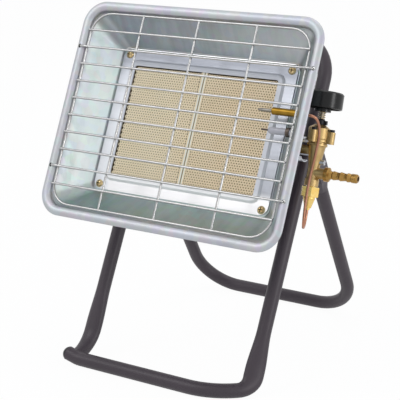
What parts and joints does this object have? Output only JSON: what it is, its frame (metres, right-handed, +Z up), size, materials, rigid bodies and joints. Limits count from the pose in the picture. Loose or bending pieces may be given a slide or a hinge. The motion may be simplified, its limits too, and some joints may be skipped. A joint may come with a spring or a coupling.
{
  "type": "parabolic gas heater",
  "caption": "Portable gas radiant heater: tilted reflector dish with ceramic burner tiles behind a wire guard, brass safety tap at its side, on a bent tube stand with a hinged rear leg.",
  "frame": {"origin": "middle of the bounding box at floor level, with the stand open as it stands on a floor", "axes": "+Z up, -Y the way the reflector faces, +X towards the gas tap (on the right seen from the front)"},
  "size_m": [0.3384, 0.3236, 0.4017],
  "materials": {
    "stand_paint": "satin",
    "black_plastic": "satin",
    "galvanised_steel": "satin",
    "bright_wire": "polished",
    "yellow_zinc": "satin",
    "zinc_plate": "satin",
    "ceramic": "matte",
    "cement": "matte",
    "fibre": "matte",
    "cast_brass": "satin",
    "turned_brass": "polished",
    "steel": "satin",
    "black_oxide": "satin",
    "porcelain": "gloss",
    "copper": "satin"
  },
  "bodies": {
    "base": {"bonnet_screws": "black_oxide", "bracket_bolts": "zinc_plate", "bracket_screws": "zinc_plate", "burner_box": "galvanised_steel", "burner_frame": "galvanised_steel", "burner_nuts": "zinc_plate", "burner_screws": "yellow_zinc", "ceramic_tile_left": "ceramic", "ceramic_tile_right": "ceramic", "electrode_collar": "steel", "electrode_insulator": "porcelain", "electrode_wire": "steel", "flow_screw": "zinc_plate", "foot_cap": "black_plastic", "front_frame": "stand_paint", "grille_cross_wires": "bright_wire", "grille_rim_wire": "bright_wire", "grille_upright_wires": "bright_wire", "head_bracket_left": "galvanised_steel", "head_bracket_right": "galvanised_steel", "hose_barb": "cast_brass", "injector": "turned_brass", "injector_holder": "turned_brass", "lead_gland": "turned_brass", "leg_stop_pins": "zinc_plate", "magnet_nut": "turned_brass", "magnet_unit": "turned_brass", "mixing_tube": "galvanised_steel", "piezo_bracket": "galvanised_steel", "piezo_igniter": "black_plastic", "piezo_nut": "black_plastic", "pivot_bolts": "zinc_plate", "pivot_nuts": "zinc_plate", "pivot_washers": "zinc_plate", "probe_bracket": "galvanised_steel", "probe_nuts": "zinc_plate", "reflector": "galvanised_steel", "return_spring": "steel", "spindle_collar": "black_oxide", "thermocouple_lead": "copper", "thermocouple_sleeve": "turned_brass", "thermocouple_tip": "steel", "tile_cement_joint": "cement", "tile_gasket": "fibre", "valve_body": "cast_brass", "valve_bonnet": "cast_brass"},
    "rear_stand": {"rear_leg": "stand_paint"},
    "push_stem": {"push_rod": "steel"},
    "control": {"knob": "black_plastic", "spindle": "steel"},
    "plug": {"cock_plug": "turned_brass"},
    "igniter_button": {"piezo_button": "black_plastic"}
  },
  "joints": [
    {"name": "leg_fold", "type": "hinge", "parent": "base", "child": "rear_stand", "pos_m": [-0.0192, 0.00145, 0.24989], "axis": [-1, 0, 0], "range_deg": [0, 38]},
    {"name": "knob_press", "type": "slide", "parent": "base", "child": "push_stem", "axis": [0, -0.2924, -0.9563], "range_m": [0, 0.004], "stiffness_N_per_m": 1500, "springref_m": -0.004, "deforming": ["return_spring"]},
    {"name": "knob_turn", "type": "hinge", "parent": "push_stem", "child": "control", "pos_m": [0.1173, -0.0401, 0.25872], "axis": [0, 0.2924, 0.9563], "range_deg": [0, 180]},
    {"name": "plug_turn", "type": "hinge", "parent": "base", "child": "plug", "pos_m": [0.1173, -0.0401, 0.25872], "axis": [0, 0.2924, 0.9563], "range_deg": [0, 180]},
    {"name": "piezo_press", "type": "slide", "parent": "base", "child": "igniter_button", "axis": [0, -0.9018, 0.4321], "range_m": [0, 0.006], "stiffness_N_per_m": 1500, "springref_m": -0.003}
  ],
  "couplings": [
    {"joint": "plug_turn", "follows": "knob_turn", "ratio": 1}
  ]
}
